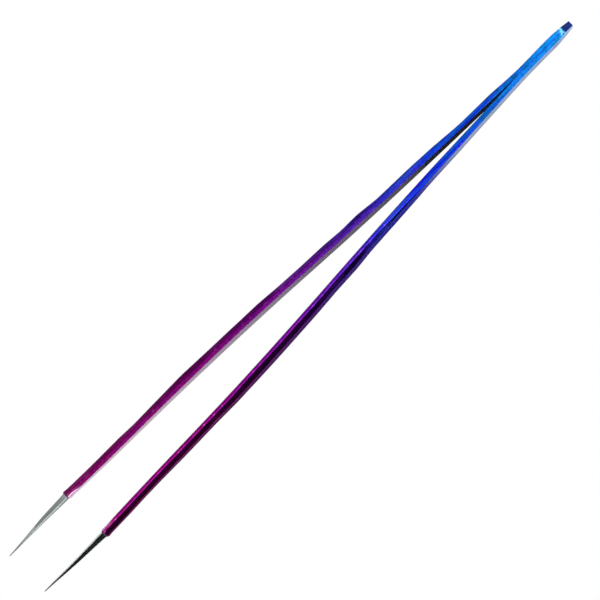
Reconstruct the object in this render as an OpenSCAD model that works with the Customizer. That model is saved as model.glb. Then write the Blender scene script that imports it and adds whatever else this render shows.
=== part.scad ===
// Fine-point spring tweezers. Two bowed steel blades are spot-welded together at the heel, and a
// coloured coat covers them up to the shoulders of the bare ground points.
// X runs from the heel to the points, Y is the way the arms open and Z is across the blades.
// The origin is the centre of the heel's end face. The arms are drawn relaxed, which is open.
// All lengths are in millimetres.

/* [Overall] */
// Length from the heel's end face to the points
overall_length = 140; // [120:1:160]
// Distance between the two points when the arms are relaxed
tip_opening = 8.8; // [7:0.1:12]
// Distance between the arms where the coat ends
shoulder_opening = 8.4; // [7:0.1:12]
// Length of each bare ground point, beyond the end of the coat
bare_length = 15; // [10:0.5:20]

/* [Heel] */
// Length over which the blades are welded together
weld_length = 13.6; // [10:0.1:16]
// Width of the heel, next to its cut corners
heel_width = 7; // [5:0.1:9]
// Thickness of one blade at the heel
heel_thickness = 0.84; // [0.6:0.01:1.2]
// Thickness of one blade at the heel's end face, where the outside is ground away
heel_end_thickness = 0.54; // [0.4:0.01:0.6]
// Length of the ground slope at the heel's end
heel_slope_length = 4.2; // [3:0.1:6]
// Length of the cut corners at the heel's end
heel_corner_length = 1.9; // [1:0.1:2.5]
// How far the cut corners reach in from the edges
heel_corner_depth = 1.6; // [0.5:0.1:2.2]

/* [Arms] */
// Greatest width of an arm
arm_width = 9; // [7:0.1:11]
// Greatest thickness of an arm
arm_thickness = 1.54; // [1.2:0.01:2]
// Where the arm reaches its greatest width
widest_from = 40; // [30:1:50]
// Where the arm starts to narrow towards the point
widest_to = 82; // [70:1:95]
// Where the arm stops getting thicker
thickest_from = 68; // [55:1:80]
// How far the middle of the arm bows outwards, as a share of half the shoulder opening
belly = 0.127; // [0:0.001:0.16]
// How far the root of the arm bows inwards, as a share of half the shoulder opening
pinch = 0.022; // [0:0.001:0.03]
// Share of the steel's thickness that the bevels along the outer edges take
bevel_share = 0.6; // [0.3:0.01:0.7]
// Angle between the bevels and the flat outer face
bevel_angle = 48; // [40:1:60]

/* [Points] */
// Width of the coated arm at the shoulder, where the coat ends
shoulder_width = 3.9; // [3:0.1:5]
// Thickness of the coated arm at the shoulder
shoulder_thickness = 1.47; // [1:0.01:1.54]
// Width of the very end of the point
point_width = 0.3; // [0.2:0.05:0.6]
// Thickness of the very end of the point
point_thickness = 0.17; // [0.1:0.01:0.4]
// Share of the steel's thickness that the bevels take on the bare point
point_bevel_share = 0.8; // [0.6:0.01:0.85]

/* [Flexure] */
// Where each arm bends from the heel, measured from the heel's end face
flexure_x = 20; // [18:0.5:24]
// Free space at the bend, between the heel and the arm
flexure_gap = 0.05; // [0.04:0.01:0.08]
// Radius of the round knuckle that the arm turns on
knuckle_radius = 0.26; // [0.2:0.01:0.28]
// Clearance around the knuckle
knuckle_clearance = 0.04; // [0.02:0.01:0.06]

/* [Coat and welds] */
// Thickness of the coat
coat_thickness = 0.08; // [0.05:0.01:0.09]
// Number of spot welds along the heel
weld_count = 2; // [1:1:3]
// Diameter of each weld nugget
weld_diameter = 2.4; // [1.5:0.1:3]
// Thickness of each weld nugget, half of it in each blade
weld_thickness = 0.6; // [0.3:0.05:0.8]

/* [Hidden] */
$fn = 64;

shoulder_x = overall_length - bare_length;

// Where the arm bows in and out, as shares of the way from the weld to the shoulder
pinch_to = 0.38;
belly_from = 0.28;
// The blades start to thicken some way before they part
thicken_from = weld_length - 5;
// Where the arm starts to thin towards the shoulder
thin_from = shoulder_x - 14;
// The bevels grow over this stretch, from a plain edge break
bevel_from = 32;
bevel_to = 56;
edge_break = 0.12;
// Length over which the bevels deepen at the start of the bare point
regrind_length = 0.8;

arm_steps = 28;
point_steps = 3;
heel_steps = 3;
margin = 1;

heel_color = [0.07, 0.35, 0.85];
arm_color = [0.45, 0.12, 0.6];
steel_color = [0.72, 0.73, 0.74];

// Share of the way from a to b, kept between 0 and 1
function share(x, a, b) = min(1, max(0, (x - a) / (b - a)));

// The same share, easing in and out
function ease(x, a, b) =
    let (s = share(x, a, b))
    s * s * (3 - 2 * s);

// A smooth bump that is 0 at a and b and 1 half way between them
function bump(x, a, b) = pow(sin(180 * share(x, a, b)), 2);

function mix(a, b, s) = a + (b - a) * s;

// The next three functions measure to the surface of the coat. Beyond the shoulder, where there is
// none, they measure as if it went on.

// Half the gap between the inner faces: an S bow up to the shoulder, then straight to the point
function half_gap(x) =
    let (u = share(x, weld_length, shoulder_x))
    x > shoulder_x
        ? mix(shoulder_opening / 2, tip_opening / 2 - coat_thickness, share(x, shoulder_x, overall_length))
        : shoulder_opening / 2 * (u + belly * bump(u, belly_from, 1) - pinch * bump(u, 0, pinch_to));

// Thickness of one arm
function thickness(x) =
    x > shoulder_x
        ? mix(shoulder_thickness, point_thickness + 2 * coat_thickness,
              share(x, shoulder_x, overall_length))
        : mix(heel_thickness, arm_thickness, ease(x, thicken_from, thickest_from))
            - (arm_thickness - shoulder_thickness) * pow(share(x, thin_from, shoulder_x), 2);

// Half the width of one arm, tapering straight towards the heel and towards the shoulder
function half_width(x) =
    x > shoulder_x
        ? mix(shoulder_width / 2, point_width / 2 + coat_thickness, share(x, shoulder_x, overall_length))
        : mix(heel_width, arm_width, share(x, heel_corner_length, widest_from)) / 2
            - (arm_width - shoulder_width) / 2 * share(x, widest_to, shoulder_x);

// Depth of the bevels through the thickness
function bevel_depth(x) =
    let (cut = mix(bevel_share, point_bevel_share, ease(x, shoulder_x, shoulder_x + regrind_length)))
    max(edge_break, cut * (thickness(x) - 2 * coat_thickness) * ease(x, bevel_from, bevel_to));

// Section of the left arm at x as [y, z] points, set in from the coat's surface by inset. Setting
// a bevel in by that much also makes it this much shallower.
function section(x, inset) =
    let (y = half_gap(x) + inset)
    let (h = half_width(x) - inset)
    let (top = half_gap(x) + thickness(x) - inset)
    let (shallower = inset * (sin(bevel_angle) + cos(bevel_angle) - 1) / cos(bevel_angle))
    let (deep = bevel_depth(x) - shallower)
    let (wide = deep / tan(bevel_angle))
    [
        [y, -h], [y, h],
        [top - deep, h], [top, h - wide],
        [top, wide - h], [top - deep, -h]
    ];

// Places along X from a to b
function places(a, b, steps) = [for (i = [0 : steps]) mix(a, b, i / steps)];

// Solid through the arm's sections at the places xs
module loft(xs, inset) {
    sides = len(section(xs[0], inset));
    last = (len(xs) - 1) * sides;
    polyhedron(
        points = [for (x = xs) for (p = section(x, inset)) [x, p[0], p[1]]],
        faces = concat(
            [[for (j = [sides - 1 : -1 : 0]) j]],
            [[for (j = [0 : sides - 1]) last + j]],
            [for (i = [0 : len(xs) - 2]) for (j = [0 : sides - 1])
                let (a = i * sides + j)
                let (b = i * sides + (j + 1) % sides)
                [a, b, b + sides, a + sides]]
        )
    );
}

// Y of the bend's axis: the middle of the left arm's thickness
flexure_y = half_gap(flexure_x) + thickness(flexure_x) / 2;
heel_end_x = flexure_x - flexure_gap;

// Outline of the heel seen from the flat of the blades, as [x, z] points
module heel_outline(inset) {
    slant = norm([heel_corner_length, heel_corner_depth]);
    h = heel_width / 2 - inset;
    upper = [
        [inset, heel_width / 2 - heel_corner_depth
            + inset * (heel_corner_depth - slant) / heel_corner_length],
        [heel_corner_length + inset * (slant - heel_corner_length) / heel_corner_depth, h],
        for (x = places(heel_slope_length, flexure_x, heel_steps)) [x, half_width(x) - inset]
    ];
    polygon(concat(upper, [for (i = [len(upper) - 1 : -1 : 0]) [upper[i][0], -upper[i][1]]]));
}

// Side profile of the left heel as [x, y] points, over the coat or over the bare steel
module heel_profile(inset) {
    outer = [
        [inset, heel_end_thickness - inset],
        [heel_slope_length, heel_thickness - inset],
        for (x = places(thicken_from, heel_end_x, heel_steps)) [x, half_gap(x) + thickness(x) - inset]
    ];
    inner = [for (x = places(weld_length, heel_end_x, heel_steps)) [x, half_gap(x) + inset]];
    polygon(concat(
        [[inset, 0]],
        outer,
        [for (i = [len(inner) - 1 : -1 : 0]) inner[i]],
        [[weld_length - inset, 0]]
    ));
}

// Solid left half of the heel, over the coat (inset 0) or over the bare steel
module heel_half(inset) {
    intersection() {
        translate([0, 0, -arm_width])
            linear_extrude(2 * arm_width) heel_profile(inset);
        rotate([90, 0, 0])
            linear_extrude(4 * arm_thickness, center = true) heel_outline(inset);
    }
}

// The weld nuggets, as discs across the joint between the blades
module nuggets() {
    pitch = weld_length / (weld_count + 1);
    for (i = [1 : weld_count])
        translate([i * pitch, 0, 0]) rotate([90, 0, 0])
            cylinder(h = weld_thickness, d = weld_diameter, center = true);
}

// Root end of the left blade, with the weld pockets and the socket for the knuckle
module heel_steel() {
    difference() {
        heel_half(coat_thickness);
        nuggets();
        translate([flexure_x, flexure_y, 0])
            cylinder(h = 2 * arm_width, r = knuckle_radius + knuckle_clearance, center = true);
    }
}

// Left blade from the bend to the ground point, with the knuckle it turns on
module blade_steel() {
    knuckle_length = 2 * (half_width(flexure_x) - coat_thickness - edge_break);
    union() {
        loft(
            concat(places(flexure_x, shoulder_x, arm_steps),
                   places(shoulder_x + regrind_length, overall_length, point_steps)),
            coat_thickness
        );
        translate([flexure_x, flexure_y, 0])
            cylinder(h = knuckle_length, r = knuckle_radius, center = true);
    }
}

// Coat on the left arm, open at both ends
module arm_coat() {
    xs = places(flexure_x, shoulder_x, arm_steps);
    difference() {
        loft(xs, 0);
        loft(concat([flexure_x - margin], xs, [shoulder_x + margin]), coat_thickness);
    }
}

module left_heel() {
    color(steel_color) heel_steel();
}

module right_heel() {
    color(steel_color) mirror([0, 1, 0]) heel_steel();
}

module heel_welds() {
    color(steel_color) nuggets();
}

module heel_coat() {
    color(heel_color) difference() {
        union() {
            heel_half(0);
            mirror([0, 1, 0]) heel_half(0);
        }
        heel_half(coat_thickness);
        mirror([0, 1, 0]) heel_half(coat_thickness);
    }
}

module left_blade() {
    color(steel_color) blade_steel();
}

module right_blade() {
    color(steel_color) mirror([0, 1, 0]) blade_steel();
}

module left_coat() {
    color(arm_color) arm_coat();
}

module right_coat() {
    color(arm_color) mirror([0, 1, 0]) arm_coat();
}

left_heel();
right_heel();
heel_welds();
heel_coat();
left_blade();
right_blade();
left_coat();
right_coat();
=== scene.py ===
import math

import bmesh
import bpy
import numpy as np
from mathutils import Matrix, Vector
from mathutils.bvhtree import BVHTree


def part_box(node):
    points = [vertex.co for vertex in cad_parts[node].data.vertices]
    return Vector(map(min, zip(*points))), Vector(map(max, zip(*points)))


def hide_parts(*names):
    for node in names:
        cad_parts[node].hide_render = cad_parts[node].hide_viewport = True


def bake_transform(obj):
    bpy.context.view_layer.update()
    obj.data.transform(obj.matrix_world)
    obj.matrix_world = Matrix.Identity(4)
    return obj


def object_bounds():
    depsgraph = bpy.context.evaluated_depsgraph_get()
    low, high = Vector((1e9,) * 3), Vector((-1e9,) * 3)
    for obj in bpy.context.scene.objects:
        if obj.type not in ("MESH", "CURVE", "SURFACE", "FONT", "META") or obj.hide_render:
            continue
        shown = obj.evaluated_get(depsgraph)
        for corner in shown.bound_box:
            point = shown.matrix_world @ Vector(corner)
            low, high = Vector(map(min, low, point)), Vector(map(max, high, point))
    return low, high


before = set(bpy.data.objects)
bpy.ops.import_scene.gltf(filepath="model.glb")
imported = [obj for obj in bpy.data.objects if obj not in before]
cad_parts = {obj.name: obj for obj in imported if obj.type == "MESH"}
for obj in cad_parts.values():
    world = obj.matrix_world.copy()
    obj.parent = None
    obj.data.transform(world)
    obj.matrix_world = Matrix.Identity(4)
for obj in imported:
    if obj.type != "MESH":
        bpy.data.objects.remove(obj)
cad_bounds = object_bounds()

# Fine-point spring tweezers, lying on the side edges of their arms. X runs from the heel to the
# points, Y is the way the arms open and Z is up. Shapes below are worked out in millimetres and
# written to the meshes in metres. Every shape is made for the left arm and mirrored for the right.

MM = 0.001

# ---------------------------------------------------------------- sizes taken from the CAD frame

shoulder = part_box("left_coat")[1].x / MM
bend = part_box("left_coat")[0].x / MM
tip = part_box("left_blade")[1].x / MM
weld_low, weld_high = (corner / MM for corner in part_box("heel_welds"))
weld_radius = weld_high.z
weld_places = (weld_low.x + weld_radius, weld_high.x - weld_radius)

# ---------------------------------------------------------------- finish of the surfaces, in mm

COAT = 0.08
SEAM_ROUNDING = 0.02
INNER_ROUNDING = 0.10
RIM_ROUNDING = 0.32
RIDGE_ROUNDING = 0.42
OUTER_ROUNDING = 0.30
HEEL_ROUNDING = 0.04
STEEL_ROUNDING = 0.03
END_ROUNDING = 0.06
LEAST_BEVEL = 0.05
BEAD_HEIGHT = 0.05
BEAD_LENGTH = 0.45
RIM_UNEVENNESS = 0.10
DIMPLE_DEPTH = 0.035
UNDER_COAT = 0.03
REGRIND = 0.06
TIP_ROUNDING = 0.08
POINT_SPLAY = 0.10

# Segments across each flat of a section, and round each of its corners
INNER_SEGMENTS = 14
SIDE_SEGMENTS = 6
BEVEL_SEGMENTS = 6
OUTER_SEGMENTS = 26
CORNER_SEGMENTS = 5


def smooth(x, low, high):
    """0 before low, 1 after high, easing in between."""
    s = np.clip((np.asarray(x, float) - low) / (high - low), 0, 1)
    return s * s * (3 - 2 * s)


# ---------------------------------------------------------------- the left arm's shape, from CAD


def surface(*names):
    """The surface of some CAD nodes, ready to be probed."""
    corners, faces = [], []
    for name in names:
        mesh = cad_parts[name].data
        start = len(corners)
        corners += [v.co / MM for v in mesh.vertices]
        faces += [[start + i for i in p.vertices] for p in mesh.polygons]
    return BVHTree.FromPolygons(corners, faces)


# How far outside a probe starts, how close to the edge of a face and to the CAD's ends it goes,
# and how far inside the steel it looks for the width, in mm
FAR = 50
NEAR_EDGE = 0.02
NEAR_END = 0.02
INSIDE = 0.06
# The two CAD nodes leave this much space, with some to spare, at the bend
BEND_SPACE = 0.06


def probe(tree, x, y, z, direction):
    hit = tree.ray_cast(Vector((x, y, z)), Vector(direction))[0]
    return hit


def section_at(tree, x, open_gap):
    """Inner face, outer face, half width, outer end of the side edge and half width of the outer
    flat at x, all to the surface of a CAD node."""
    outer = probe(tree, x, FAR, 0, (0, -1, 0)).y
    inner = probe(tree, x, 0, 0, (0, 1, 0)).y if open_gap else 0.0
    half = probe(tree, x, inner + INSIDE, FAR, (0, 0, -1)).z
    low = probe(tree, x, FAR, half - NEAR_EDGE, (0, -1, 0)).y
    high = probe(tree, x, FAR, half - 2 * NEAR_EDGE, (0, -1, 0)).y
    slope = max((high - low) / NEAR_EDGE, 0.0)
    side = min(low - slope * NEAR_EDGE, outer - LEAST_BEVEL)
    slope = max(slope, 0.5)
    return inner, outer, half, side, half - (outer - side) / slope


class Shape:
    """The sections of the left arm along X, smoothed where the CAD's facets show."""

    STEP = 0.25
    # Number of sections that the smoothing takes the mean of
    WINDOW = 15
    # Lengths from the shoulder: where the bevels have deepened, and a place further on
    DEEPENED, FURTHER = 1.25, 9

    def __init__(self):
        coat = surface("heel_coat", "left_coat")
        steel = surface("left_blade")
        self.xs = np.arange(0, tip + self.STEP / 2, self.STEP)
        rows = []
        for x in self.xs:
            x = min(max(x, NEAR_END), tip - NEAR_END)
            x = bend + NEAR_END if abs(x - bend) < BEND_SPACE else x
            closed = probe(coat, x, 0, FAR, (0, 0, -1)) is not None
            rows.append(section_at(coat if x < shoulder else steel, x, not closed))
        rows = np.array(rows)
        margin = self.WINDOW // 2
        padded = np.pad(rows, ((margin, margin), (0, 0)), mode="edge")
        kernel = np.ones(self.WINDOW) / self.WINDOW
        soft = np.stack([np.convolve(column, kernel, "valid") for column in padded.T], 1)
        keep = (smooth(self.xs, bend + 1, bend + 8) * (1 - smooth(self.xs, shoulder - 6, shoulder - 3)))
        self.rows = rows + (soft - rows) * keep[:, None]
        # the short stretch where the bevels deepen is left out: it would lie at the rim
        places = (shoulder, shoulder + self.DEEPENED, shoulder + self.FURTHER)
        start, settled, later = np.searchsorted(self.xs, places)
        taper = (self.rows[later] - self.rows[settled]) / (later - settled)
        for i in range(start, settled):
            self.rows[i] = self.rows[settled] + taper * (i - settled)

    def at(self, x):
        return [float(np.interp(x, self.xs, column)) for column in self.rows.T]


shape = Shape()


# Number of corners in a wavering line, how many spacings before X = 0 it starts, and how far to
# either side of a corner its rounding reaches, in mm
LINE_CORNERS = 60
LINE_LEAD = 2
CORNER_SOFTNESS = 0.45


def hand_ground(seed, spacing, height):
    """A wavering line like that of a face ground freehand: straight stretches of uneven length,
    meeting in shallow rounded corners. It strays evenly to both sides, so that it leaves the mean
    place of the face alone. Returns a function of x."""
    rng = np.random.default_rng(seed)
    steps = spacing * rng.uniform(0.6, 1.4, LINE_CORNERS)
    knots = np.cumsum(steps) - LINE_LEAD * spacing
    heights = height * rng.uniform(-1, 1, len(knots))
    heights -= np.mean(np.interp(np.arange(0, tip), knots, heights))
    softness = np.linspace(-CORNER_SOFTNESS, CORNER_SOFTNESS, 7)

    def line(x):
        return float(np.mean(np.interp(x + softness, knots, heights)))

    return line


class Grinding:
    """How the faces of one arm stray from their true planes, in mm. Its bevels are cut deeper by
    bevel, and its outer face strays by up to wave. Where the corners of each line fall is chance."""

    def __init__(self, seed, bevel, wave):
        self.bevel = bevel
        self.arm = hand_ground(seed, 11, 0.03)
        self.outer = hand_ground(seed + 1, 6, wave)
        self.upper = hand_ground(seed + 2, 7, 0.04)
        self.lower = hand_ground(seed + 3, 7, 0.04)
        self.ridge = hand_ground(seed + 4, 4, 0.07)
        self.flat = hand_ground(seed + 5, 4, 0.10)

    def amount(self, x):
        return float(smooth(x, 2.5, 9) * (1 - 0.6 * smooth(x, shoulder - 3, shoulder)))


# ---------------------------------------------------------------- sections


def rounded(corners, roundings, segments, kinds):
    """Closed outline through rounded corners. Each flat is split into its number of segments,
    closer together next to the corners. Returns the points, how near each is to a corner and
    its kind of face, which goes over from one flat's to the next's round a corner."""
    points, nearness, faces = [], [], []
    count = len(corners)
    flats = [np.linalg.norm(corners[(i + 1) % count] - corners[i]) for i in range(count)]
    arcs = []
    for i in range(count):
        before = (corners[i - 1] - corners[i]) / flats[i - 1]
        after = (corners[(i + 1) % count] - corners[i]) / flats[i]
        opening = math.acos(max(-1, min(1, float(before @ after))))
        reach = roundings[i] / math.tan(opening / 2)
        reach = min(reach, 0.45 * flats[i - 1], 0.45 * flats[i])
        radius = reach * math.tan(opening / 2)
        middle = before + after
        middle /= np.linalg.norm(middle)
        centre = corners[i] + middle * radius / math.sin(opening / 2)
        start, end = corners[i] + before * reach - centre, corners[i] + after * reach - centre
        turn = math.pi - opening
        arc = []
        for k in range(CORNER_SEGMENTS + 1):
            s = k / CORNER_SEGMENTS
            swing = math.sin((1 - s) * turn) * start + math.sin(s * turn) * end
            arc.append(centre + swing / math.sin(turn))
        arcs.append(arc)
    for i in range(count):
        points += arcs[i]
        nearness += [1.0] * len(arcs[i])
        faces += list(np.linspace(kinds[i - 1], kinds[i], len(arcs[i])))
        start, end = arcs[i][-1], arcs[(i + 1) % count][0]
        for k in range(1, segments[i]):
            s = 0.5 - 0.5 * math.cos(math.pi * k / segments[i])
            points.append(start + (end - start) * s)
            nearness.append(0.5 if k in (1, segments[i] - 1) else 0.0)
            faces.append(kinds[i])
    return np.array(points), np.stack([nearness, faces], 1)


SEGMENTS = (INNER_SEGMENTS, SIDE_SEGMENTS, BEVEL_SEGMENTS, OUTER_SEGMENTS, BEVEL_SEGMENTS, SIDE_SEGMENTS)
INNER_FACE, SIDE_FACE, BEVEL_FACE, OUTER_FACE = 0, 1, 2, 3
KINDS = (INNER_FACE, SIDE_FACE, BEVEL_FACE, OUTER_FACE, BEVEL_FACE, SIDE_FACE)


def arm_section(x, inset, roundings, grinding):
    """Outline of the left arm at x as (y, z) points, set in from the coat's surface by inset."""
    inner, outer, half, side, flat = shape.at(x)
    amount = grinding.amount(x)
    sway = amount * grinding.arm(x) * float(smooth(x, bend, bend + 15))
    sway += POINT_SPLAY * float(smooth(x, shoulder, shoulder + 8) * (1 - 0.5 * smooth(x, tip - 6, tip)))
    outer += sway + amount * grinding.outer(x)
    inner += sway
    bevelled = float(smooth(x, bend + 10, bend + 30))
    deeper = grinding.bevel * float(1 - smooth(x, shoulder - 1, shoulder))
    side += sway + (amount * grinding.ridge(x) - deeper) * bevelled
    flat += (amount * grinding.flat(x) - deeper) * bevelled
    top = half + amount * grinding.upper(x)
    bottom = half + amount * grinding.lower(x)
    deep, wide = outer - side, half - flat
    lean = math.atan2(deep, wide)
    back = inset * (1 - math.sin(lean)) / math.cos(lean)
    down = inset * (1 - math.cos(lean)) / math.sin(lean)
    corners = [
        (inner + inset, -bottom + inset), (inner + inset, top - inset),
        (side - back, top - inset), (outer - inset, top - wide - down),
        (outer - inset, -bottom + wide + down), (side - back, -bottom + inset),
    ]
    return rounded([np.array(c) for c in corners], roundings, SEGMENTS, KINDS)


def coat_roundings(x):
    """Roundings of the six corners of the coated arm: inner, ridge and outer edges, twice. The
    coat has built up on the inner edges next to the rim."""
    grown = float(smooth(x, 12, 40))
    parted = float(smooth(x, 13, 22))
    near_rim = float(smooth(x, shoulder - 3, shoulder - 1))
    inner = SEAM_ROUNDING + (INNER_ROUNDING - SEAM_ROUNDING) * parted
    inner += (RIM_ROUNDING - INNER_ROUNDING) * near_rim
    ridge = HEEL_ROUNDING + (RIDGE_ROUNDING - HEEL_ROUNDING) * grown
    outer = HEEL_ROUNDING + (OUTER_ROUNDING - HEEL_ROUNDING) * grown
    return (inner, inner, ridge, outer, outer, ridge)


# ---------------------------------------------------------------- mesh building


def tube(name, rings, marks):
    """Closed mesh through rings of points, with flat caps. marks holds each point's nearness to a
    corner and kind of face, which its material reads."""
    count = len(rings[0])
    vertices = [tuple(p * MM) for ring in rings for p in ring]
    faces = []
    for i in range(len(rings) - 1):
        for j in range(count):
            k = (j + 1) % count
            faces.append((i * count + j, i * count + k, (i + 1) * count + k, (i + 1) * count + j))
    faces.append(tuple(range(count)))
    last = (len(rings) - 1) * count
    faces.append(tuple(last + j for j in range(count)))
    mesh = bpy.data.meshes.new(name)
    mesh.from_pydata(vertices, [], faces)
    for column, title in enumerate(("edge", "face")):
        mark = mesh.attributes.new(title, "FLOAT", "POINT")
        mark.data.foreach_set("value", np.concatenate(marks)[:, column].astype(np.float32))
    edit = bmesh.new()
    edit.from_mesh(mesh)
    bmesh.ops.recalc_face_normals(edit, faces=edit.faces)
    edit.to_mesh(mesh)
    edit.free()
    mesh.polygons.foreach_set("use_smooth", [True] * len(mesh.polygons))
    piece = bpy.data.objects.new(name, mesh)
    bpy.context.scene.collection.objects.link(piece)
    return piece


def ring_at(x, outline, mirror):
    """Outline of (y, z) points as a ring in space. x may be one number or one per point."""
    ring = np.zeros((len(outline), 3))
    ring[:, 0] = x
    ring[:, 1] = outline[:, 0] * mirror
    ring[:, 2] = outline[:, 1]
    return ring


def dimpled(ring, mirror):
    """Presses the shallow spot-weld marks into the outer face of the heel."""
    outer = np.abs(ring[:, 1]).max()
    on_face = np.abs(ring[:, 1]) > outer - 0.02
    for place in weld_places:
        away = np.hypot(ring[:, 0] - place, ring[:, 2]) / weld_radius
        pressed = 1 - smooth(away, 0.55, 1.0)
        raised = 0.25 * np.exp(-((away - 1.08) / 0.09) ** 2)
        ring[:, 1] -= mirror * DIMPLE_DEPTH * (pressed - raised) * on_face


def coat_stations():
    """Places along X, closer together at the heel's end and next to the rim."""
    return np.concatenate([
        np.arange(END_ROUNDING, 5, 0.1),
        np.arange(5, shoulder - 2.5, 0.3),
        np.arange(shoulder - 2.5, shoulder - COAT, 0.06),
    ])


def coat_skin(name, mirror, seed, grinding):
    """The coloured coat over one arm and its half of the heel: an open sock of one thickness."""
    rings, marks = [], []

    def add(x, outline, mark, edge=None):
        mark = mark.copy()
        if edge is not None:
            mark[:, 0] = edge
        rings.append(ring_at(x, outline, mirror))
        marks.append(mark)

    for angle in np.linspace(90, 18, 5):
        turn = math.radians(angle)
        inset = END_ROUNDING * (1 - math.cos(turn))
        outline, mark = arm_section(END_ROUNDING, inset, coat_roundings(0), grinding)
        add(END_ROUNDING * (1 - math.sin(turn)), outline, mark, 1.0)
    around = np.linspace(0, 2 * math.pi, len(rings[0]), endpoint=False)
    uneven = RIM_UNEVENNESS * (0.6 * np.sin(around * 2 + seed) + 0.4 * np.sin(around * 5 + 2 * seed))
    for x in coat_stations():
        bead = BEAD_HEIGHT * math.exp(-(((x - shoulder + 0.35) / BEAD_LENGTH) ** 2))
        outline, mark = arm_section(x, -bead, coat_roundings(x), grinding)
        # the edge mark rises to 2 at the rim, where the material paints a dark line of shade
        mark[:, 0] = np.maximum(mark[:, 0], 2 * smooth(x, shoulder - 0.28, shoulder - 0.14))
        add(x + uneven * float(smooth(x, shoulder - 2.5, shoulder)), outline, mark)
        if x < bend:
            dimpled(rings[-1], mirror)
    # the rim's rounding, its rings marked 2 for the painted rim shade
    for angle in np.linspace(15, 90, 6):
        turn = math.radians(angle)
        inset = COAT * (1 - math.cos(turn)) - BEAD_HEIGHT * 0.5 * math.cos(turn)
        outline, mark = arm_section(shoulder, inset, coat_roundings(shoulder), grinding)
        add(shoulder - COAT * (1 - math.sin(turn)) + uneven, outline, mark, 2.0)
    for x in np.arange(shoulder - 0.4, 0.5, -1.0):
        outline, mark = arm_section(x, COAT, coat_roundings(x), grinding)
        add(x, outline, mark, 0.0)
    return tube(name, rings, marks)


def steel_blade(name, mirror, grinding):
    """The steel under the coat and the bare ground point beyond it."""
    rings, marks = [], []
    sharp = (STEEL_ROUNDING,) * 6
    for x in np.arange(0.6, shoulder - 1, 1.0):
        outline, mark = arm_section(x, COAT + UNDER_COAT, coat_roundings(x), grinding)
        rings.append(ring_at(x, outline, mirror))
        marks.append(mark)
    for x in np.arange(shoulder - 0.6, tip - TIP_ROUNDING, 0.12):
        ground = REGRIND * float(1 - smooth(x, shoulder, tip))
        outline, mark = arm_section(x, COAT if x < shoulder else ground, sharp, grinding)
        rings.append(ring_at(x, outline, mirror))
        marks.append(mark)
    outline, mark = arm_section(tip, 0, sharp, grinding)
    middle = outline.mean(0)
    for angle in (15, 40, 65, 85):
        turn = math.radians(angle)
        x = tip - TIP_ROUNDING * (1 - math.sin(turn))
        rings.append(ring_at(x, middle + (outline - middle) * math.cos(turn), mirror))
        marks.append(mark)
    return tube(name, rings, marks)


# ---------------------------------------------------------------- materials


def linear(red, green, blue):
    """Scene colour of an sRGB colour given as three numbers up to 255."""
    def channel(c):
        c /= 255
        return c / 12.92 if c <= 0.04045 else ((c + 0.055) / 1.055) ** 2.4
    return (channel(red), channel(green), channel(blue), 1.0)


class Nodes:
    """Short ways to add nodes to a material."""

    def __init__(self, material):
        material.use_nodes = True
        self.tree = material.node_tree
        self.tree.nodes.clear()

    def add(self, kind, inputs=None, **settings):
        node = self.tree.nodes.new(kind)
        for key, value in settings.items():
            setattr(node, key, value)
        for key, value in (inputs or {}).items():
            self.put(node, key, value)
        return node

    def put(self, node, key, value):
        if isinstance(value, bpy.types.NodeSocket):
            self.tree.links.new(value, node.inputs[key])
        else:
            node.inputs[key].default_value = value

    def math(self, operation, a, b=0.0, c=0.0):
        return self.add("ShaderNodeMath", {0: a, 1: b, 2: c}, operation=operation).outputs[0]

    def span(self, value, low, high, to_low=0.0, to_high=1.0, soft=True):
        kind = "SMOOTHSTEP" if soft else "LINEAR"
        inputs = {"Value": value, "From Min": low, "From Max": high, "To Min": to_low, "To Max": to_high}
        return self.add("ShaderNodeMapRange", inputs, interpolation_type=kind).outputs["Result"]

    def noise(self, place, scale, detail=2.0, roughness=0.5, stretch=None):
        if stretch:
            place = self.add("ShaderNodeMapping", {"Vector": place, "Scale": stretch}).outputs[0]
        inputs = {"Vector": place, "Scale": scale, "Detail": detail, "Roughness": roughness}
        return self.add("ShaderNodeTexNoise", inputs).outputs["Fac"]

    def strokes(self, place, lean, scale, stretch=0.09):
        """Fine marks lying in the directions lean degrees to either side of X."""
        layers = []
        for sign in (1, -1):
            turn = math.radians(sign * lean)
            inputs = {"Vector": place, "Rotation": (0.3 * turn, turn, turn)}
            turned = self.add("ShaderNodeMapping", inputs).outputs[0]
            layers.append(self.noise(turned, scale, 3, 0.6, stretch=(stretch, 1, 1)))
        return self.math("MULTIPLY", self.math("ADD", *layers), 0.5)

    def mix(self, share, a, b, kind="MIX"):
        node = self.add("ShaderNodeMix", data_type="RGBA", blend_type=kind)
        self.put(node, 0, share)
        self.put(node, 6, a)
        self.put(node, 7, b)
        return node.outputs[2]

    def ramp(self, value, stops):
        node = self.add("ShaderNodeValToRGB", {"Fac": value})
        elements = node.color_ramp.elements
        while len(elements) < len(stops):
            elements.new(1.0)
        for element, (position, colour) in zip(elements, stops):
            element.position = position
            element.color = colour
        return node.outputs["Color"]

    def bump(self, height, distance, strength=1.0, after=None):
        inputs = {"Height": height, "Distance": distance, "Strength": strength}
        if after is not None:
            inputs["Normal"] = after
        return self.add("ShaderNodeBump", inputs).outputs["Normal"]


# Colours of the coat from the heel to the rim, as shares of its length
COAT_COLOURS = (
    (0.00, linear(16, 112, 196)),
    (0.06, linear(16, 116, 200)),
    (0.12, linear(12, 84, 174)),
    (0.20, linear(11, 56, 166)),
    (0.29, linear(15, 38, 172)),
    (0.35, linear(42, 34, 164)),
    (0.42, linear(62, 26, 142)),
    (0.50, linear(78, 16, 124)),
    (0.60, linear(92, 8, 108)),
    (0.74, linear(104, 6, 92)),
    (1.00, linear(110, 8, 84)),
)


# Colours of single places on the coat
# painted shade on the heel's end facet
END_FACET_SHADE = linear(56, 58, 164)
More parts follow.
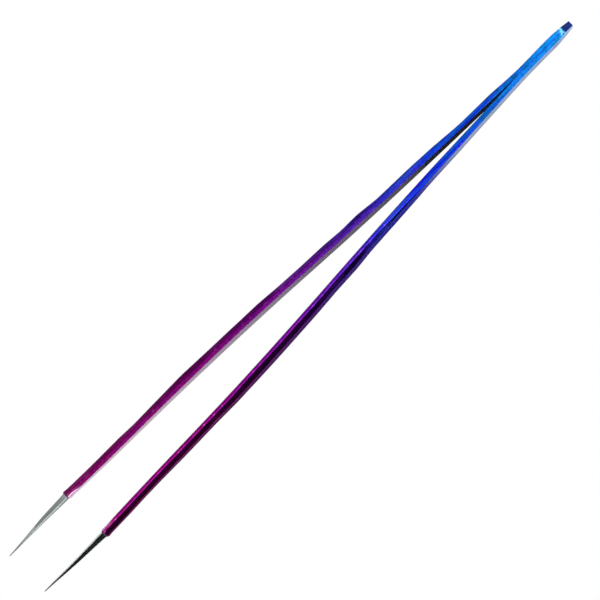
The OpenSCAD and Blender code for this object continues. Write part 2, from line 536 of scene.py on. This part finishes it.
# painted highlight just past the heel's end facet
GLINT = linear(120, 206, 236)
WORN_EDGE = linear(206, 164, 228)
# painted highlight on the inner edges next to the rim
RIM_HIGHLIGHT = linear(244, 176, 228)
# painted shade round the coat's rim
RIM_SHADE = linear(36, 6, 30)
# painted shade on the root of the inner faces
ROOT_SHADE = linear(14, 14, 18)


def coat_material(name, lag):
    """Glossy coloured coat over ground steel, from azure at the heel to magenta at the rim. lag
    is how much further along this arm the colours come, in mm."""
    material = bpy.data.materials.new(name)
    n = Nodes(material)
    place = n.add("ShaderNodeTexCoord").outputs["Object"]
    axes = n.add("ShaderNodeSeparateXYZ", {"Vector": place}).outputs
    along, height = axes["X"], axes["Z"]
    edge = n.add("ShaderNodeAttribute", attribute_name="edge").outputs["Fac"]
    face = n.add("ShaderNodeAttribute", attribute_name="face").outputs["Fac"]
    # painted shade: the inner faces are painted near-black and made dull up to about 52 mm from the
    # heel, for the shade in the narrow gap between the arms
    inside = n.span(face, 0.2, 0.8, 1, 0)
    root_shade = n.math("MULTIPLY", inside, n.span(along, 36 * MM, 52 * MM, 0.998, 0))
    # 1 where the grinder has been: everywhere but on the inner faces and the root of the outer ones
    outside = n.span(face, 2.3, 2.9)
    root = n.span(along, 24 * MM, 46 * MM, 1, 0)
    dressed = n.math("SUBTRACT", n.span(face, 0.2, 0.8), n.math("MULTIPLY", outside, root))

    clouds = n.noise(place, 160, 3)
    drift = n.math("MULTIPLY_ADD", clouds, 6 * MM, -3 * MM - lag * MM)
    share = n.math("DIVIDE", n.math("ADD", along, drift), shoulder * MM)
    colour = n.ramp(share, COAT_COLOURS)
    # painted shade: the end facet of the heel is painted a darker navy
    end_facet_shade = n.span(along, 1.6 * MM, 2.1 * MM, 0.8, 0)
    colour = n.mix(end_facet_shade, colour, END_FACET_SHADE)
    strokes = n.strokes(place, 28, 2600)
    lines = n.strokes(place, 2, 2400)
    streaks = n.noise(place, 2400, 2, stretch=(0.02, 1, 1))
    patches = n.noise(place, 1100, 3, 0.6)
    # a broken painted highlight just past the end facet, and a blotchier heel
    glint = n.span(along, 1.9 * MM, 2.2 * MM)
    glint = n.math("MULTIPLY", glint, n.span(along, 2.5 * MM, 3.1 * MM, 0.8, 0))
    glint = n.math("MULTIPLY", glint, n.span(patches, 0.42, 0.58))
    colour = n.mix(glint, colour, GLINT)
    blotchy = n.span(along, 14 * MM, 34 * MM, 0.75, 0.32)
    value = n.math("MULTIPLY_ADD", n.math("MULTIPLY", dressed, n.span(strokes, 0.3, 0.7)), 0.55, 0.62)
    value = n.math("MULTIPLY_ADD", n.math("SUBTRACT", n.span(patches, 0.3, 0.7), 0.5), blotchy, value)
    value = n.math("ADD", value, 0.16)
    value = n.math("MULTIPLY_ADD", n.span(lines, 0.35, 0.65), 0.16, n.math("SUBTRACT", value, 0.08))
    tint = n.math("MULTIPLY_ADD", patches, 0.05, 0.475)
    tint = n.math("MULTIPLY_ADD", n.span(streaks, 0.3, 0.7), 0.024, n.math("SUBTRACT", tint, 0.013))
    hsv = n.add("ShaderNodeHueSaturation", {"Color": colour, "Value": value, "Hue": tint})

    chips = n.span(n.noise(place, 1100, 4, 0.7), 0.58, 0.66)
    wear = n.math("MULTIPLY", n.span(edge, 0.6, 1.0), chips)
    wear_and_painted_light = n.mix(n.math("MULTIPLY", wear, 0.10), hsv.outputs[0], WORN_EDGE)
    # painted shade: a dark line painted round the coat's rim
    rim = n.span(edge, 1.2, 2.0)
    # painted highlight: the crests of the inner edges in the last few mm before the rim are painted pale
    # pink
    near_rim = n.span(along, (shoulder - 3.6) * MM, (shoulder - 1.8) * MM)
    crest = n.math("MULTIPLY", n.span(face, 0.05, 0.3), n.span(face, 0.8, 1.05, 0.85, 0))
    wear_and_painted_light = n.mix(n.math("MULTIPLY", near_rim, crest), wear_and_painted_light, RIM_HIGHLIGHT)
    wear_and_painted_light = n.mix(n.math("MULTIPLY", rim, 0.9), wear_and_painted_light, RIM_SHADE)
    wear_and_painted_light = n.mix(root_shade, wear_and_painted_light, ROOT_SHADE)

    satin = n.math("MULTIPLY", dressed, outside)
    rough = n.math("MULTIPLY_ADD", dressed, 0.09, 0.07)
    rough = n.math("MULTIPLY_ADD", satin, 0.26, rough)
    rough = n.math("MULTIPLY_ADD", strokes, 0.08, rough)
    sheen = n.mix(satin, linear(255, 255, 255), linear(120, 84, 116))
    # painted shade: the reflection tint of the outer faces near the heel is darker towards the bottom
    low = n.span(height, -2.8 * MM, -1.6 * MM, 1, 0)
    root_sheen_and_shade = n.mix(low, linear(132, 182, 218), linear(70, 90, 104))
    sheen = n.mix(n.math("MULTIPLY", outside, root), sheen, root_sheen_and_shade)
    sheen = n.mix(inside, sheen, linear(252, 232, 255))
    depth = n.math("MULTIPLY_ADD", dressed, 0.97, 0.03)
    normal = n.bump(strokes, 0.010 * MM, depth)
    normal = n.bump(lines, 0.006 * MM, depth, after=normal)
    normal = n.bump(patches, 0.020 * MM, depth, after=normal)
    # the painted root shade is not metallic
    metal = n.math("SUBTRACT", 1.0, root_shade)
    shader = n.add("ShaderNodeBsdfPrincipled", {
        "Base Color": wear_and_painted_light, "Metallic": metal, "Roughness": rough, "Normal": normal,
        "Specular Tint": sheen, "Specular IOR Level": n.math("MULTIPLY", metal, 0.5),
    })
    n.add("ShaderNodeOutputMaterial", {"Surface": shader.outputs[0]})
    return material


def steel_material(name):
    """Bright stainless steel, ground along its length, with painted shade: darker towards the tip, and a
    dark reflection tint on the inner faces.
    """
    material = bpy.data.materials.new(name)
    n = Nodes(material)
    place = n.add("ShaderNodeTexCoord").outputs["Object"]
    along = n.add("ShaderNodeSeparateXYZ", {"Vector": place}).outputs["X"]
    edge = n.add("ShaderNodeAttribute", attribute_name="edge").outputs["Fac"]
    face = n.add("ShaderNodeAttribute", attribute_name="face").outputs["Fac"]
    lines = n.strokes(place, 3, 3600)
    strokes = n.strokes(place, 30, 3000)
    stains = n.noise(place, 600, 3)
    colour = n.mix(stains, linear(158, 167, 167), linear(188, 196, 195))
    colour = n.mix(n.span(lines, 0.4, 0.62, 0.0, 0.4), colour, linear(128, 136, 137))
    polished = n.math("MULTIPLY", n.span(edge, 0.5, 1.0), 0.5)
    colour = n.mix(polished, colour, linear(222, 226, 226))
    # painted shade: the last 10 mm to the tip are darkened
    colour = n.mix(n.span(along, (tip - 10) * MM, tip * MM, 0, 0.85), colour, linear(78, 84, 84))
    # painted shade: the inner faces get a dark reflection tint
    sheen = n.mix(n.span(face, 0.2, 0.8), linear(60, 66, 66), linear(255, 255, 255))
    rough = n.math("MULTIPLY_ADD", lines, 0.16, 0.05)
    normal = n.bump(lines, 0.003 * MM)
    normal = n.bump(strokes, 0.002 * MM, after=normal)
    shader = n.add("ShaderNodeBsdfPrincipled", {
        "Base Color": colour, "Metallic": 1.0, "Roughness": rough, "Normal": normal,
        "Specular Tint": sheen,
    })
    n.add("ShaderNodeOutputMaterial", {"Surface": shader.outputs[0]})
    return material


def weld_material(name):
    """Dull cast grain of a weld nugget, with patchy heat tint."""
    material = bpy.data.materials.new(name)
    n = Nodes(material)
    place = n.add("ShaderNodeTexCoord").outputs["Object"]
    grain = n.noise(place, 2400, 4, 0.7)
    cloud = n.noise(place, 500, 2)
    colour = n.mix(n.span(cloud, 0.35, 0.65), linear(142, 138, 132), linear(176, 160, 138))
    colour = n.mix(n.span(grain, 0.4, 0.7, 0.0, 0.5), colour, linear(104, 108, 120))
    rough = n.math("MULTIPLY_ADD", grain, 0.3, 0.35)
    normal = n.bump(grain, 0.02 * MM)
    shader = n.add("ShaderNodeBsdfPrincipled", {
        "Base Color": colour, "Metallic": 1.0, "Roughness": rough, "Normal": normal,
    })
    n.add("ShaderNodeOutputMaterial", {"Surface": shader.outputs[0]})
    return material


# ---------------------------------------------------------------- pieces

LEFT, RIGHT = 1, -1


def flexing(piece):
    """The real strip is stiff up to the weld and bends from there into the arm; here the piece's placing
    is only baked into its mesh.
    """
    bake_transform(piece)


# For each arm: its name, its side, its seed, how much further along its colours come, how much
# deeper its bevels are cut and how far its outer face strays. The last three are in mm.
ARMS = (
    ("left", LEFT, 21, 5.0, 0.15, 0.09),
    ("right", RIGHT, 47, -1.0, 0.0, 0.17),
)

steel = steel_material("ground_steel")
for side, mirror, seed, lag, bevel, wave in ARMS:
    grinding = Grinding(seed, bevel, wave)
    coat = coat_skin(f"{side}_coat_skin", mirror, seed, grinding)
    coat.data.materials.append(coat_material(f"{side}_coat", lag))
    flexing(coat)
    blade = steel_blade(f"{side}_spring_blade", mirror, grinding)
    blade.data.materials.append(steel)
    flexing(blade)
    if side == "left":
        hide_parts("left_coat", "heel_coat")
        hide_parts("left_blade", "left_heel")
    else:
        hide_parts("right_coat")
        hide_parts("right_blade", "right_heel")

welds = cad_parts["heel_welds"]
welds.data.materials.clear()
welds.data.materials.append(weld_material("weld_nugget"))

# ---------------------------------------------------------------- floor

low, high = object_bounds()
centre = (low + high) / 2
FLOOR_SIZE = 8.0


def pale_floor():
    mesh = bpy.data.meshes.new("floor")
    r = FLOOR_SIZE / 2
    mesh.from_pydata([(-r, -r, 0), (r, -r, 0), (r, r, 0), (-r, r, 0)], [], [(0, 1, 2, 3)])
    floor = bpy.data.objects.new("floor", mesh)
    floor.location = (centre.x, centre.y, low.z)
    bpy.context.scene.collection.objects.link(floor)
    material = bpy.data.materials.new("pale_floor")
    n = Nodes(material)
    seen = n.add("ShaderNodeLightPath").outputs["Is Camera Ray"]
    matt = n.add("ShaderNodeBsdfDiffuse", {"Color": (0.95, 0.95, 0.95, 1)})
    white = n.add("ShaderNodeEmission", {"Color": (1, 1, 1, 1), "Strength": 1.0})
    both = n.add("ShaderNodeMixShader", {0: seen, 1: matt.outputs[0], 2: white.outputs[0]})
    n.add("ShaderNodeOutputMaterial", {"Surface": both.outputs[0]})
    mesh.materials.append(material)


pale_floor()

# ---------------------------------------------------------------- light

# How bright the room is straight overhead
ZENITH = 0.95


def softbox(name, lean, distance, width, length, radiance):
    """A square soft light, lean degrees from overhead towards +Y, facing the object."""
    a = math.radians(lean)
    away = Vector((0, math.sin(a), math.cos(a)))
    data = bpy.data.lights.new(name, "AREA")
    data.shape = "RECTANGLE"
    data.size, data.size_y = length, width
    data.energy = radiance * math.pi * width * length
    lamp = bpy.data.objects.new(name, data)
    lamp.location = centre + away * distance
    lamp.rotation_euler = (-a, 0, 0)
    bpy.context.scene.collection.objects.link(lamp)
    lamp.visible_camera = False


def studio_world():
    """Soft grey room: white overhead, grey round the horizon and dark low down on the +Y side."""
    world = bpy.data.worlds.new("studio")
    bpy.context.scene.world = world
    n = Nodes(world)
    way = n.add("ShaderNodeTexCoord").outputs["Generated"]
    axes = n.add("ShaderNodeSeparateXYZ", {"Vector": way}).outputs
    horizon = n.span(axes["Y"], -0.5, 0.8, 0.48, 0.02)
    level = n.span(axes["Z"], 0.3, 0.8)
    grey = n.math("ADD", n.math("MULTIPLY", horizon, n.math("SUBTRACT", 1.0, level)),
                  n.math("MULTIPLY", level, ZENITH))
    seen = n.add("ShaderNodeLightPath").outputs["Is Camera Ray"]
    strength = n.math("ADD", n.math("MULTIPLY", grey, n.math("SUBTRACT", 1.0, seen)), seen)
    light = n.add("ShaderNodeBackground", {"Color": (1, 1, 1, 1), "Strength": strength})
    n.add("ShaderNodeOutputWorld", {"Surface": light.outputs[0]})


softbox("overhead_softbox", 0, 0.9, 0.5, 0.9, 0.45)
softbox("side_softbox", 40, 0.9, 0.5, 0.9, 4.0)
studio_world()

# ---------------------------------------------------------------- camera

VIEW_TILT = 4.3
VIEW_ROLL = 134.68
VIEW_WIDTH = 0.10865
VIEW_DISTANCE = 1.0
AIM_OFFSET = 0.265


def photo_camera():
    """Looks down on the lying tweezers, tilted a little towards the left arm, with the heel at
    the upper right of the picture."""
    tilt, roll = math.radians(VIEW_TILT), math.radians(VIEW_ROLL)
    back = Vector((0, math.sin(tilt), math.cos(tilt)))
    across = Vector((0, math.cos(tilt), -math.sin(tilt)))
    along = Vector((1, 0, 0))
    right = along * math.cos(roll) + across * math.sin(roll)
    up = back.cross(right)
    data = bpy.data.cameras.new("camera")
    data.lens = data.sensor_width * VIEW_DISTANCE / VIEW_WIDTH
    data.clip_end = 20
    camera = bpy.data.objects.new("camera", data)
    aim = Vector(((cad_bounds[0].x + cad_bounds[1].x) / 2, 0, 0)) + across * AIM_OFFSET * MM
    turned = Matrix((right, up, back)).transposed().to_4x4()
    camera.matrix_world = Matrix.Translation(aim + back * VIEW_DISTANCE) @ turned
    bpy.context.scene.collection.objects.link(camera)
    bpy.context.scene.camera = camera


photo_camera()
bpy.context.scene.view_settings.view_transform = "Standard"
